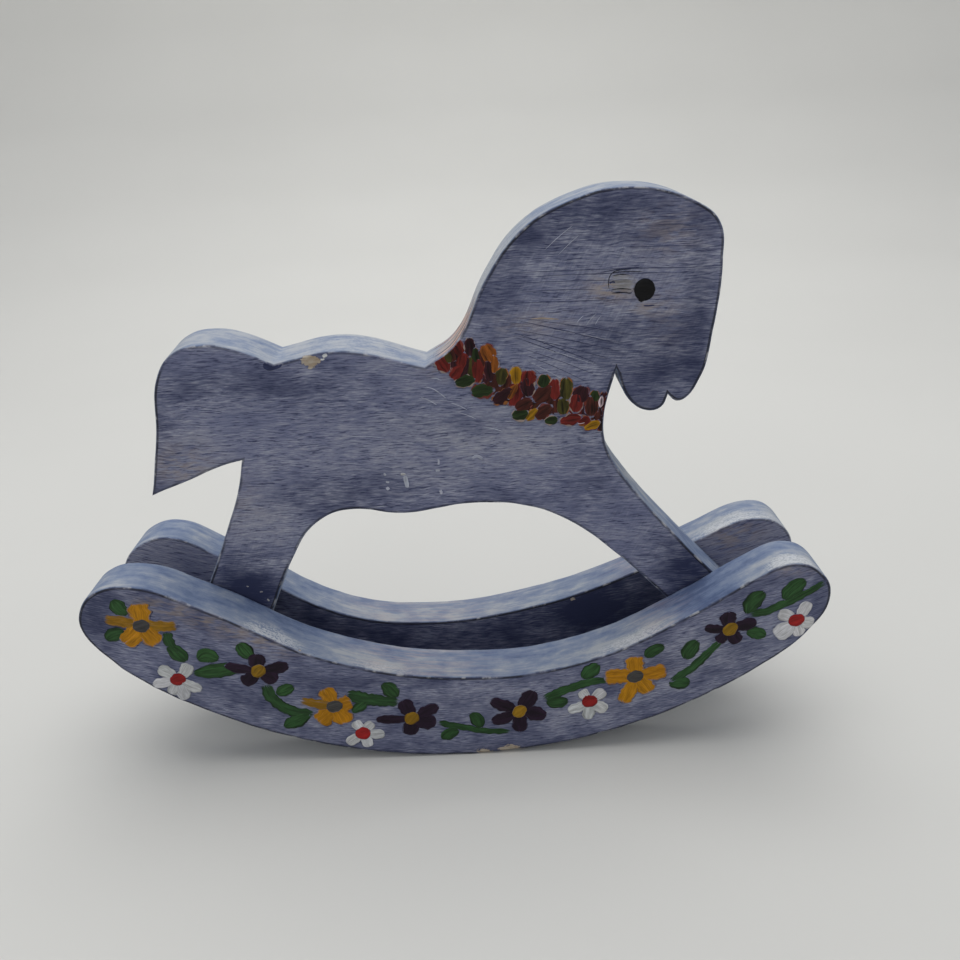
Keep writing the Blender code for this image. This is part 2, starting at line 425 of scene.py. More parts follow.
HORSE_SPOTS = {
    "dark": [
        (70, 134, 18, 10, 0.6), (56, 146, 13, 9, 0.45), (98, 52, 14, 14, 0.9), (82, 62, 12, 14, 0.8),
        (-76, 58, 17, 13, 1.3), (-90, 44, 14, 10, 0.6), (-76, 137, 26, 6, 0.42), (-97, 125, 8, 14, 0.4),
        (5, 121, 30, 7, 0.2), (18, 168, 10, 20, 0.4), (50, 187, 30, 11, 0.6), (84, 160, 5, 26, 0.6),
        (-40, 135, 22, 8, 0.3), (-40, 95, 20, 8, 0.42), (77, 139, 10, 8, 0.3), (72, 150, 12, 8, 0.3),
        (-18, 98, 26, 7, 0.25), (50, 104, 10, 16, 0.3),
        (-98, 104, 6, 9, 0.2), (28, 182, 14, 12, 0.3), (62, 122, 12, 6, 0.3), (20, 92, 26, 6, 0.2),
    ],
    "warm": [
        (-91, 110, 10, 7, 0.5), (73, 181, 9, 7, 0.45), (56, 163.5, 7, 3.6, 0.9), (74, 152, 6, 10, 0.25),
        (30, 153, 14, 4, 0.3), (66, 157, 5, 3, 0.5), (0, 140, 6, 4, 0.35), (-76, 96, 10, 10, 0.2),
    ],
    "pale": [
        (-15, 112, 40, 12, 0.35), (25, 112, 22, 9, 0.4), (-66, 88, 14, 14, 0.45), (-84, 118, 14, 12, 0.35),
        (30, 145, 18, 9, 0.3),
        (60, 166, 24, 14, 0.35), (10, 116, 50, 12, 0.15), (-72, 84, 16, 16, 0.15), (78, 75, 9, 12, 0.2),
    ],
    "upstroke": [(52, 165, 46, 34, 1.0), (-74, 72, 22, 34, 0.7), (76, 78, 26, 34, 0.7),
                 (20, 120, 60, 30, 0.25)],
    "edge_dark": [(-98, 45, 8, 6, 0.5), (100, 46, 8, 6, 0.4), (60, 128, 12, 8, 0.4), (84, 84, 14, 28, 0.5)],
    "edge_warm": [(6, 151, 7, 9, 1.0), (-101, 104, 7, 9, 0.3)],
    "edge_pale": [(0, 130, 300, 300, 0.47), (-30, 145, 26, 8, 0.12), (15, 170, 14, 26, 0.2),
                  (-80, 142, 20, 10, 0.15)],
}
ROCKER_SPOTS = {
    "dark": [
        (-122, 62, 8, 12, 0.55), (-112, 71, 12, 3, 0.35), (-30, 33, 40, 3, 0.3), (60, 44, 36, 4, 0.06),
        (104, 62, 14, 5, 0.08), (125, 62, 5, 12, 0.3), (-70, 28, 18, 8, 0.12), (20, 3, 50, 3, 0.2),
        (-100, 30, 14, 6, 0.2), (0, 30, 260, 90, 0.29),
    ],
    "warm": [
        (-103, 68, 6, 2.4, 0.7), (-94, 64.5, 6, 2.4, 0.9), (-85, 60, 6, 2.4, 0.9), (-76, 55.5, 6, 2.4, 0.9),
        (-67, 51, 6, 2.4, 0.8), (-59, 46.5, 5, 2, 0.6), (112, 72, 12, 4, 0.5), (70, 33, 10, 6, 0.1),
    ],
    "pale": [(76, 36, 30, 14, 0.3), (-60, 20, 34, 9, 0.2), (40, 16, 40, 8, 0.25), (95, 40, 20, 12, 0.2),
             (0, 24, 40, 6, 0.15)],
    "upstroke": [],
    "edge_dark": [(-128, 58, 6, 8, 0.3), (128, 58, 6, 8, 0.3), (-66, 50, 16, 10, 0.45),
                  (84, 54, 18, 8, 0.45)],
    "edge_warm": [(-15, 36, 30, 6, 0.2), (70, 50, 20, 6, 0.15)],
    "edge_pale": [
        (-66, 52, 30, 9, 0.9), (-10, 38, 50, 6, 0.75), (60, 46, 30, 10, 0.8), (114, 72, 16, 8, 0.9),
        (-114, 72, 14, 6, 0.55),
    ],
}
FAR_ROCKER_SPOTS = dict(
    ROCKER_SPOTS,
    # On the far rocker the dark spots darken the middle of both faces. On the inner face, seen between the
    # legs, that is partly a darker paint and partly painted shade from the horse and the near rocker beside
    # it.
    dark=[(-5, 26, 56, 22, 0.6), (56, 38, 30, 18, 1.0), (-50, 38, 24, 12, 0.5)],
    warm=[(104, 66, 10, 8, 0.5)],
    pale=[(118, 62, 20, 14, 0.3), (-116, 62, 20, 14, 0.3)],
    edge_dark=[],
    edge_pale=[(0, 36, 110, 12, 0.5), (105, 68, 34, 14, 0.8), (-110, 68, 24, 12, 0.4)],
)
HORSE_CHIPS = {
    "near": [(-42.5, 144.3, 6.0, 0.9), (-37.5, 145.2, 3.0, 0.5), (-99, 45, 3, 0.5), (3, 148, 3.2, 0.5),
             (79, 138, 2.5, 0.3)],
    "far": [(-60, 144, 4, 0.6), (30, 186, 3, 0.4)],
}
NEAR_ROCKER_CHIPS = {
    "near": [(-54, 47, 2.6, 0.5), (-49, 45, 2.2, 0.4), (-31, 39, 2.4, 0.5), (8, 0.9, 6, 0.45),
             (17, 1.4, 8, 0.6), (90, 23, 3, 0.3)],
    "far": [(60, 50, 3, 0.4)],
}
FAR_ROCKER_CHIPS = {"near": [(-8, 37, 3, 0.5), (44, 41, 3, 0.4)], "far": [(10, 1, 6, 0.5), (-70, 54, 3, 0.4)]}

GRAIN_BEND = 0.0012
horse = Board("painted_horse", "horse_body", 0.0, (0.05, 0.05), horse_drift, 0.0, HORSE_SPOTS, HORSE_CHIPS, 3)
near_rocker = Board(
    "painted_near_rocker", "near_rocker", -27.3, (FLOWER_SETBACK, 0.0), no_drift, GRAIN_BEND,
    ROCKER_SPOTS, NEAR_ROCKER_CHIPS, 11, front_scumble=0.85,
)
far_rocker = Board(
    "painted_far_rocker", "far_rocker", 27.3, (0.0, FLOWER_SETBACK), far_rocker_drift, GRAIN_BEND,
    FAR_ROCKER_SPOTS, FAR_ROCKER_CHIPS, 17, front_scumble=0.5,
)
BOARDS = (horse, near_rocker, far_rocker)


# ---------------------------------------------------------------------------------------------
# Brush strokes: closed raised dabs of paint

STROKE_ACROSS = 8
STROKE_BURIED = 0.3
FAR_FROM_EDGE = 10.0
CENTRE_HEIGHT = 0.16
CENTRE_LIFT = 0.27


class Canvas:
    """A painted surface: turns (x, z, height) on a board's face into a point in space."""

    def __init__(self, board, far):
        self.board, self.far = board, far
        self.y = board.far_y if far else board.near_y
        self.out = 1 if far else -1
        self.layer = 0
        outline = board.outline_at(self.y)
        self.limit = outline - outward(outline) * 0.45

    def kept_on(self, flat, height):
        """Points past the board's edge come back to it and sink below the surface."""
        flat, height = flat.copy(), height.copy()
        outside = ~inside(flat, self.limit)
        if outside.any():
            flat[outside] = nearest_on(flat[outside], self.limit)
            height[outside] = -STROKE_BURIED
        return flat, height

    def points(self, flat, height):
        return np.stack([flat[:, 0], self.y + self.out * height, flat[:, 1]], axis=1)

    def data(self, a, b):
        zeros = np.zeros(len(a))
        return self.board.surface_data(a, b, np.full(len(a), self.y), zeros,
                                       np.full(len(a), float(self.far)), zeros)


def nearest_on(points, polygon):
    """The nearest point of a closed polygon to each point."""
    start, end = polygon[None], np.roll(polygon, -1, axis=0)[None]
    along = end - start
    gap = points[:, None] - start
    share = np.clip((gap * along).sum(axis=2) / (along ** 2).sum(axis=2), 0, 1)
    candidates = start + along * share[:, :, None]
    distance = ((points[:, None] - candidates) ** 2).sum(axis=2)
    return candidates[np.arange(len(points)), distance.argmin(axis=1)]


class EdgeCanvas(Canvas):
    """The sawn edge of a board near one place: a runs along the edge from there, b is y."""

    def __init__(self, board, start):
        self.board, self.far, self.layer = board, False, 0
        self.outline = board.outline
        self.normals = outward(self.outline)
        gaps = np.linalg.norm(self.outline - np.array(start), axis=1)
        self.zero = board.arc[int(np.argmin(gaps))]

    def sample(self, a, values):
        at = (self.zero + a) % self.board.arc[-1]
        closed = np.append(values, values[:1], axis=0)
        return np.stack([np.interp(at, self.board.arc, closed[:, k]) for k in (0, 1)], axis=1)

    def kept_on(self, flat, height):
        return flat, height

    def points(self, flat, height):
        a, b = flat[:, 0], flat[:, 1]
        through = (b - self.board.near_y) / (self.board.far_y - self.board.near_y)
        place = self.sample(a, self.outline) + self.sample(a, self.board.drift(self.outline)) * through[:,
                                                                                                        None]
        place = place + self.sample(a, self.normals) * height[:, None]
        return np.stack([place[:, 0], b, place[:, 1]], axis=1)

    def data(self, a, b):
        place = self.sample(a, self.outline)
        around = (self.zero + a) % self.board.arc[-1]
        ones = np.ones(len(a))
        return self.board.surface_data(place[:, 0], place[:, 1], b, ones, 0 * ones, around)


def smooth_line(points, count):
    """Points evenly spread along a smooth curve through the given ones."""
    points = [np.array(p, float) for p in points]
    if len(points) == 2:
        points.insert(1, (points[0] + points[1]) / 2)
    padded = [2 * points[0] - points[1], *points, 2 * points[-1] - points[-2]]
    dense = []
    for i in range(1, len(padded) - 2):
        p0, p1, p2, p3 = padded[i - 1:i + 3]
        for k in range(12):
            t = k / 12
            dense.append(
                0.5 * (2 * p1 + (p2 - p0) * t + (2 * p0 - 5 * p1 + 4 * p2 - p3) * t * t
                       + (3 * p1 - p0 - 3 * p2 + p3) * t ** 3)
            )
    dense.append(points[-1])
    dense = np.array(dense)
    lengths = np.concatenate([[0], np.cumsum(np.linalg.norm(np.diff(dense, axis=0), axis=1))])
    at = np.linspace(0, lengths[-1], count)
    return np.stack([np.interp(at, lengths, dense[:, k]) for k in (0, 1)], axis=1), lengths[-1]


def petal_profile(t):
    """Half-width along a petal: narrow at the flower's centre, full and round at the tip."""
    if t < 0.62:
        return 0.5 + 0.5 * math.sin(math.pi / 2 * t / 0.62)
    return max(0.06, math.sqrt(max(0.0, 1 - ((t - 0.62) / 0.38) ** 2.2)))


def block_profile(t):
    """Half-width along a blunt petal, nearly as wide at the flower's centre as at the tip."""
    return (0.76 + 0.24 * min(1, t / 0.6)) * max(0.06, 1 - max(0.0, (t - 0.5) / 0.5) ** 3.6) ** 0.5


def leaf_profile(t):
    return max(0.04, math.sin(math.pi * t)) ** 0.5


def round_profile(t):
    return math.sqrt(max(0.006, 1 - (2 * t - 1) ** 2))


def dab_profile(t):
    return max(0.02, 1 - abs(2 * t - 1) ** 3.2) ** 0.5


def stem_profile(t):
    return max(0.05, 1 - abs(2 * t - 1) ** 7) ** 0.5 * (1.12 - 0.3 * t)


class Strokes:
    """Gathers brush strokes on one canvas into one object."""

    def __init__(self, canvas, seed):
        self.canvas, self.rng = canvas, random.Random(seed)
        self.flat, self.height, self.faces = [], [], []
        self.co, self.uv, self.colour = [], [], []

    def add(self, line, width, profile, colour, height=0.26, dry=0.25, ragged=0.08, lift=None, pooled=0.0):
        """One stroke along a line: width across, dome height, how dry the brush was (0 wet, 1 dry), and how
        much darker (or, below 0, lighter) the paint is in the stroke's middle."""
        seed = self.rng.uniform(0, 100)
        length = sum(math.dist(p, q) for p, q in zip(line[:-1], line[1:]))
        sections = max(9, min(40, int(length / 0.55) + 4))
        path, length = smooth_line(line, sections)
        tangent = np.gradient(path, axis=0)
        tangent /= np.linalg.norm(tangent, axis=1)[:, None]
        across = np.stack([-tangent[:, 1], tangent[:, 0]], axis=1)
        if lift is None:
            self.canvas.layer += 1
            lift = 0.012 * (self.canvas.layer % 7)
        shade = self.rng.uniform(0.86, 1.12)
        tint = [c * shade * self.rng.uniform(0.985, 1.015) for c in linear(colour)]
        start = len(self.flat)
        row = STROKE_ACROSS + 3
        for i in range(sections):
            t = i / (sections - 1)
            for j in range(STROKE_ACROSS + 1):
                u = 2 * j / STROKE_ACROSS - 1
                sway = perlin((t * length / 1.6, 5 * (u > 0) + seed, 2.2)) * ragged
                half = width / 2 * profile(t) * (1 + sway)
                a, b = path[i] + across[i] * half * u
                ridge = perlin((t * length / 6, u * width / 0.7 + seed, 8.1))
                dome = (1 - abs(u) ** 3) * (0.78 + 0.35 * ridge) * min(1, 0.3 + 2.2 * profile(t))
                self._vertex(a, b, max(0.0, dome) * height + lift - 0.04, t, u, length, width, seed, pooled,
                             tint, dry)
            for u in (0.8, -0.8):
                a, b = path[i] + across[i] * width / 2 * profile(t) * u
                self._vertex(a, b, -STROKE_BURIED, t, u, length, width, seed, pooled, tint, dry)
        for i in range(sections - 1):
            for j in range(row):
                k = (j + 1) % row
                a, b = start + i * row, start + (i + 1) * row
                self.faces.append((a + j, a + k, b + k, b + j))
        self.faces.append(tuple(start + j for j in reversed(range(row))))
        self.faces.append(tuple(start + (sections - 1) * row + j for j in range(row)))

    def _vertex(self, a, b, height, t, u, length, width, seed, pooled, tint, dry):
        self.flat.append((a, b))
        self.height.append(height)
        self.co.append((t * length, u * width / 2, seed))
        self.uv.append((t, u, pooled))
        self.colour.append((*tint, dry))

    def finish(self, name):
        flat, height = self.canvas.kept_on(np.array(self.flat), np.array(self.height))
        data = self.canvas.data(flat[:, 0], flat[:, 1])
        data["inset"] = np.full(len(flat), FAR_FROM_EDGE)
        data["stroke_co"] = np.array(self.co)
        data["stroke_uv"] = np.array(self.uv)
        data["stroke_colour"] = np.array(self.colour)
        obj = make_object(name, self.canvas.points(flat, height), self.faces, data)
        bm = bmesh.new()
        bm.from_mesh(obj.data)
        bmesh.ops.recalc_face_normals(bm, faces=bm.faces)
        bm.to_mesh(obj.data)
        bm.free()
        return obj


def away(centre, degrees, distance):
    angle = math.radians(degrees)
    return (centre[0] + distance * math.cos(angle), centre[1] + distance * math.sin(angle))


def petal_line(centre, degrees, reach, rng):
    """A petal's middle line, from near the flower's centre to its tip, slightly bowed."""
    return [away(centre, degrees, 0.8), away(centre, degrees + rng.uniform(-5, 5), reach / 2),
            away(centre, degrees, reach)]


# Where these marks lie was measured on the photo. A scratch script turned those places into
# millimetres, and its rounded results, partly adjusted by hand, are the numbers below.
# Each flower: its centre on the board's face, then each petal's direction, reach and width
YELLOW_FLOWERS = (
    ((-107.0, 59.5), ((165, 13.0, 4.6), (357, 12.5, 4.6), (222, 10.0, 7.2), (302, 9.0, 7.4), (88, 9.0, 7.4))),
    ((-44.5, 23.5), ((166, 12.5, 4.4), (12, 6.5, 6.4), (225, 9.5, 7.2), (292, 8.5, 7.0), (112, 8.5, 6.2))),
    ((62.0, 30.5), ((180, 11.0, 6.8), (248, 12.0, 5.8), (308, 9.0, 6.4), (12, 11.5, 6.6), (90, 8.5, 6.4))),
)
WHITE_FLOWERS = (
    ((-98.0, 37.5),
     ((142, 8.0, 5.2), (50, 8.0, 5.0), (192, 9.5, 4.6), (240, 7.0, 4.6), (280, 8.8, 5.6), (328, 9.2, 4.8))),
    ((-35.5, 11.5), ((115, 6.0, 4.6), (48, 6.0, 4.4), (355, 8.0, 4.8), (285, 6.5, 5.0), (215, 7.6, 4.8))),
    ((46.0, 21.0), ((125, 5.6, 4.8), (38, 7.0, 4.8), (325, 7.6, 5.2), (265, 8.0, 4.8), (207, 8.8, 4.4))),
    ((117.0, 50.5), ((62, 8.0, 4.8), (155, 7.2, 5.2), (222, 9.4, 7.0), (345, 6.4, 5.2), (285, 6.8, 5.0))),
)
PURPLE_FLOWERS = (
    ((-69.5, 39.5), ((88, 7.0, 6.6), (167, 12.0, 4.2), (10, 11.0, 4.6), (220, 8.0, 5.4), (322, 7.5, 6.2))),
    ((-17.5, 17.0), ((110, 8.4, 6.0), (180, 13.0, 3.8), (27, 11.0, 5.0), (345, 9.0, 6.4), (262, 7.4, 6.2))),
    ((21.0, 18.0), ((155, 11.5, 5.2), (58, 10.0, 6.2), (345, 10.0, 6.2), (268, 9.0, 5.8), (202, 11.0, 4.8))),
    ((94.5, 48.0), ((98, 7.0, 5.8), (174, 9.0, 3.8), (14, 9.4, 4.8), (232, 6.6, 4.4), (300, 6.6, 5.0))),
)
STEMS = (
    (((-99.0, 56.5), (-98.5, 52.0), (-96.5, 48.0)), 3.0),
    (((-68.0, 34.0), (-66.0, 27.5), (-60.5, 22.5), (-52.0, 20.5)), 3.6),
    (((-40.0, 28.0), (-31.5, 25.5), (-21.5, 24.0)), 4.0),
    (((-8.5, 14.5), (1.0, 12.0), (9.5, 10.0), (18.0, 9.5)), 2.2),
    (((29.5, 22.5), (38.5, 26.5), (46.0, 28.8), (53.0, 29.5)), 2.8),
    (((74.5, 27.5), (82.0, 33.0), (87.0, 38.5), (92.0, 44.0)), 2.6),
    (((100.0, 53.5), (106.0, 54.2), (113.5, 57.5), (120.0, 61.0), (126.0, 65.0)), 2.4),
)
LEAVES = (
    (((-115.0, 70.0), (-113.5, 67.0), (-111.0, 64.0)), 5.0),
    (((-120.0, 54.5), (-117.0, 56.5), (-113.0, 57.5)), 4.6),
    (((-99.5, 51.0), (-96.5, 48.0), (-94.0, 44.5)), 5.0),
    (((-90.0, 45.0), (-86.5, 46.5), (-82.5, 45.0)), 5.2),
    (((-92.5, 39.5), (-83.5, 40.3), (-73.5, 41.5)), 5.0),
    (((-75.0, 51.0), (-73.0, 47.5), (-71.0, 44.5)), 5.2),
    (((-64.5, 29.5), (-61.5, 31.0), (-58.0, 32.5)), 4.2),
    (((-63.5, 15.5), (-58.5, 18.0), (-53.5, 20.5)), 4.6),
    (((-27.0, 32.0), (-24.5, 29.5), (-22.0, 26.0)), 5.0),
    (((-38.5, 20.5), (-36.0, 22.5), (-33.0, 25.0)), 3.6),
    (((-7.5, 7.5), (-4.5, 9.5), (-1.0, 11.0)), 4.2),
    (((3.5, 18.0), (5.5, 15.5), (7.0, 11.5)), 4.2),
    (((43.5, 30.5), (46.5, 33.5), (49.5, 36.0)), 4.6),
    (((30.5, 21.5), (34.0, 21.0), (38.5, 21.5)), 4.2),
    (((65.5, 38.0), (68.0, 40.5), (72.0, 42.5)), 4.2),
    (((79.5, 36.5), (81.0, 40.5), (83.5, 44.0)), 5.0),
    (((74.0, 26.5), (77.5, 27.0), (81.5, 27.0)), 4.6),
    (((100.0, 46.5), (103.5, 46.0), (107.0, 44.5)), 4.4),
    (((100.0, 53.5), (101.5, 58.0), (105.5, 62.0)), 5.2),
    (((112.0, 58.5), (114.5, 62.0), (119.0, 66.0)), 5.2),
)
# Each dab of the garland: colour, centre, width, length, lean of its long axis from upright in degrees
GARLAND_DABS = (
    ("maroon", 5.0, 142.5, 6.5, 9.0, -10), ("olive", 10.5, 140.0, 6.0, 10.0, 0),
    ("maroon", 15.5, 137.0, 6.0, 9.0, 10),
    ("brown", 20.5, 133.0, 6.5, 9.0, 20), ("maroon", 26.0, 129.5, 6.5, 10.0, 0),
    ("olive", 31.0, 127.0, 6.5, 9.0, 30),
    ("maroon", 36.0, 126.5, 6.5, 9.0, 0), ("brown", 41.0, 125.5, 6.5, 9.5, 0),
    ("maroon", 47.0, 122.5, 6.5, 9.0, 10),
    ("brown", 3.0, 145.0, 5.0, 7.0, -30), ("maroon", 7.0, 140.0, 5.0, 8.0, 20),
    ("brown", 12.0, 141.0, 5.0, 9.0, 0),
    ("brown", 17.0, 134.0, 5.5, 9.0, 30), ("red", 24.0, 130.0, 6.0, 9.0, 10),
    ("brown", 30.0, 126.5, 6.0, 9.0, 40),
    ("brown", 37.0, 127.0, 6.0, 9.0, 0), ("red", 44.0, 123.5, 6.0, 9.0, 0),
    ("brown", 50.0, 121.0, 5.0, 8.0, 0),
    ("maroon", 53.0, 125.0, 3.4, 9.0, 4), ("maroon", 52.5, 118.5, 3.6, 6.0, 0),
    ("red", 0.5, 141.5, 4.4, 7.0, -30),
    ("olive", 2.5, 144.0, 3.3, 5.0, 0), ("red", 5.5, 146.5, 4.0, 7.8, -20),
    ("maroon", 9.5, 146.5, 3.6, 6.6, 0),
    ("red", 7.0, 142.0, 4.2, 6.0, 15), ("red", 5.0, 138.5, 4.2, 6.0, 40), ("green", 7.5, 135.2, 4.0, 7.0, 80),
    ("green", 11.5, 143.5, 2.8, 5.6, -10), ("orange", 15.3, 144.2, 4.8, 6.6, -20),
    ("orange", 17.0, 140.5, 3.0, 6.4, 0),
    ("red", 11.8, 138.5, 3.6, 8.6, 5), ("maroon", 15.5, 138.2, 3.4, 7.4, -6),
    ("ochre", 24.2, 136.4, 4.0, 6.4, 0),
    ("olive", 19.5, 136.2, 4.2, 6.2, 10), ("green", 13.0, 131.6, 4.4, 7.6, 85),
    ("orange", 23.0, 131.0, 2.8, 6.4, 30),
    ("maroon", 20.2, 129.5, 4.4, 9.0, 62), ("red", 28.2, 135.2, 5.0, 5.6, 0),
    ("maroon", 28.0, 132.2, 4.6, 6.8, -6),
    ("green", 33.4, 134.0, 4.2, 4.8, 10), ("brown", 33.0, 129.6, 5.0, 8.0, 50),
    ("red", 36.8, 131.0, 3.8, 7.6, 0),
    ("olive", 40.6, 131.0, 4.2, 8.0, 0), ("brown", 26.6, 126.2, 4.2, 6.6, 60),
    ("green", 25.2, 122.8, 4.0, 5.8, 80),
    ("ochre", 29.2, 122.6, 3.0, 5.6, 45), ("brown", 33.0, 123.4, 4.2, 7.0, 55),
    ("green", 35.5, 120.3, 3.0, 4.6, 80),
    ("olive", 39.5, 125.0, 4.0, 6.0, -8), ("maroon", 45.6, 129.0, 5.2, 6.0, 20),
    ("red", 44.0, 126.0, 4.6, 6.8, 10),
    ("green", 50.0, 127.8, 3.0, 4.8, 8), ("brown", 49.0, 124.6, 4.4, 7.2, 0),
    ("red", 42.0, 120.2, 3.6, 7.6, 80),
    ("red", 46.5, 119.6, 3.0, 4.4, 70), ("ochre", 49.2, 117.9, 2.8, 6.0, 70),
    ("pink", 52.2, 126.0, 1.5, 3.8, 8),
    ("pink", 45.6, 119.0, 0.9, 2.4, 80), ("maroon", 54.0, 124.0, 2.4, 7.4, 6),
)
# Knife lines and scratches on the horse's near face: their two ends, width, colour
SCRATCHES = (
    ((24, 169.8), (92, 168.6), 0.26, "groove"), ((30, 168.4), (76, 167.4), 0.22, "groove"),
    ((22, 166.4), (60, 165.8), 0.22, "groove"), ((52, 168.6), (66, 169.8), 0.3, "groove"),
    ((55.4, 167.4), (61.6, 167.3), 0.36, "black_line"), ((55.0, 163.0), (62.2, 162.7), 0.42, "black_line"),
    ((55.2, 161.8), (62.2, 161.5), 0.4, "black_line"), ((26, 163.6), (52, 163.2), 0.2, "groove"),
    ((20, 160.2), (90, 158.6), 0.2, "groove"), ((24, 154.8), (58, 145.2), 0.28, "groove"),
    ((22, 151.4), (52, 138.6), 0.24, "groove"), ((24, 149.2), (46, 139.4), 0.2, "groove"),
    ((44, 152.4), (47, 155.4), 0.24, "dry"), ((47, 151.4), (51, 156.0), 0.24, "dry"),
    ((50, 151.6), (52.6, 155.2), 0.2, "dry"), ((29, 154.8), (39, 154.2), 0.6, "tan"),
    ((-36, 118), (-20, 116.6), 0.22, "dry"), ((-6, 134), (-1, 131.6), 0.3, "dry"),
    ((-3, 132.6), (1, 129.4), 0.34, "dry"),
    ((-8, 130.6), (-2, 127.2), 0.3, "dry"), ((2, 128.0), (8, 125.0), 0.3, "dry"),
    ((4, 124.6), (11, 121.6), 0.26, "dry"),
    ((-4, 136.8), (0, 135.6), 0.3, "dry"), ((-2, 139.2), (1.6, 138.0), 0.3, "dry"),
    ((12, 119), (20, 116.8), 0.24, "dry"),
    ((-30, 92), (-8, 91.2), 0.2, "groove"), ((34, 176), (44, 184), 0.2, "dry"),
    ((38, 174), (46, 181), 0.18, "dry"),
    ((68, 182.4), (80, 182), 0.2, "groove"), ((60, 176), (86, 175.2), 0.18, "groove"),
)


# The fine comb of brush lines that runs down across the neck, above the garland
NECK_COMB = tuple(
    ((21.5 + 0.9 * k, 156.0 - 2.1 * k), (63.0 - 2.4 * k, 148.0 - 2.6 * k), 0.17,
     "dry" if k % 3 == 1 else "groove")
    for k in range(9)
)
# Streaks on the sawn edge behind the neck: from and to along the edge, y, width, colour
NECK_EDGE_STREAKS = (
    (-4, 12, -7.6, 1.4, GARLAND["orange"]), (0, 18, -6.0, 1.8, SLATE["rose"]),
    (3, 17, -3.8, 1.6, SLATE["tan"]),
    (5, 19, -1.6, 1.6, SLATE["rose"]), (-2, 10, -2.4, 1.0, GARLAND["brown"]), (8, 19, 1.2, 1.6, SLATE["tan"]),
    (4, 16, 3.6, 1.4, SLATE["rose"]), (10, 20, 6.0, 1.4, GARLAND["orange"]),
    (7, 14, -8.2, 1.0, GARLAND["red"]),
    (11, 18, -7.2, 1.8, SLATE["rose"]), (2, 9, 6.8, 1.2, SLATE["tan"]), (12, 19, -4.6, 1.2, GARLAND["brown"]),
)
# Small marks on the horse's near face: middle line, width, colour, dryness
FACE_MARKS = (
    # The first mark, a deep slate dab under the nick in the horse's back, is painted shade of that nick.
    (((-58.4, 143.9), (-55.2, 143.0), (-51.8, 144.2)), 2.6, SLATE["deep"], 0.5),
    (((-63.4, 59.0), (-64.4, 55.5), (-65.2, 51.0)), 0.7, SLATE["warm_grey"], 0.7),
    (((-70.2, 60.2), (-69.6, 60.4), (-69.0, 60.3)), 0.6, SLATE["warm_grey"], 0.66),
    (((-68.0, 57.4), (-67.6, 57.0), (-67.2, 56.4)), 0.7, SLATE["warm_grey"], 0.66),
    (((-72.4, 56.2), (-72.0, 56.0), (-71.6, 55.6)), 0.5, SLATE["warm_grey"], 0.66),
    (((-74.6, 63.0), (-74.2, 62.8), (-73.8, 62.8)), 0.5, SLATE["warm_grey"], 0.66),
    (((54.8, 165.0), (58.6, 165.1), (63.0, 165.0)), 7.6, (138, 136, 138), 0.98),
    (((54.8, 164.9), (55.6, 165.4), (56.8, 165.2)), 1.1, SLATE["groove"], 0.6),
    (((65.4, 157.4), (67.4, 157.3), (69.6, 157.4)), 0.6, SLATE["groove"], 0.75),
    (((54.8, 162.2), (54.5, 164.8), (54.9, 167.2), (57.0, 168.9), (63.0, 169.3)), 0.34, SLATE["black_line"],
     0.8),
    (((56.0, 165.9), (59.0, 166.1), (61.6, 165.8)), 0.26, SLATE["groove"], 0.7),
    (((55.6, 164.0), (58.6, 164.1), (61.8, 163.8)), 0.24, SLATE["groove"], 0.7),
    (((55.0, 168.3), (60.0, 168.5), (66.0, 168.2)), 0.3, SLATE["black_line"], 0.75),
    (((-38.6, 145.5), (-37.8, 145.9), (-36.8, 146.2)), 1.3, SLATE["chalk"], 0.72),
    (((-39.4, 144.9), (-38.6, 144.6), (-37.8, 144.9)), 0.8, SLATE["chalk"], 0.72),
    (((-21.9, 104.0), (-21.6, 103.4), (-21.2, 103.0)), 1.1, SLATE["dry"], 0.86),
    (((-21.6, 100.9), (-21.0, 100.6), (-20.2, 100.5)), 1.0, SLATE["dry"], 0.88),
    (((-21.4, 98.9), (-21.0, 98.2), (-20.6, 97.6)), 1.5, SLATE["dry"], 0.86),
    (((-16.4, 103.2), (-15.4, 103.3), (-14.4, 103.0)), 1.2, SLATE["chalk"], 0.86),
    (((-14.9, 103.0), (-14.5, 100.4), (-14.2, 97.8)), 1.9, SLATE["dry"], 0.88),
    (((-3.2, 108.4), (-2.9, 107.2), (-3.2, 105.8)), 0.9, SLATE["dry"], 0.86),
    (((-4.4, 103.9), (-3.4, 104.1), (-2.6, 103.8)), 1.0, SLATE["dry"], 0.86),
    (((-3.2, 96.9), (-2.8, 95.9), (-3.0, 95.0)), 1.3, SLATE["dry"], 0.88),
    (((8.0, 107.4), (10.2, 108.6), (12.4, 107.2)), 1.4, SLATE["dry"], 0.94),
)


def white_petal(width):
    return width, petal_profile, WHITE, {"height": 0.27, "dry": 0.48, "ragged": 0.24}


def yellow_petal(width):
    settings = {"height": 0.24, "ragged": 0.32}
    if width < SLIM_PETAL:
        return 1.12 * width, stem_profile, YELLOW_DEEP, {**settings, "dry": 0.76}
    return 1.12 * width, block_profile, YELLOW, {**settings, "dry": 0.66}


def purple_petal(width):
    settings = {"height": 0.22, "dry": 0.3, "ragged": 0.26, "lift": 0.08, "pooled": 0.7}
    return width, petal_profile, PURPLE, settings


SLIM_PETAL = 5
# Each kind: its flowers, its petals, then its centre's lean, reach, width, colour and dryness
FLOWER_KINDS = (
    ("white", WHITE_FLOWERS, white_petal, (200, 2.9, 5.0, FLOWER_RED, 0.3)),
    ("yellow", YELLOW_FLOWERS, yellow_petal, (195, 3.0, 4.8, FLOWER_GREY, 0.2)),
    ("purple", PURPLE_FLOWERS, purple_petal, (225, 2.9, 4.8, FLOWER_OCHRE, 0.2)),
)


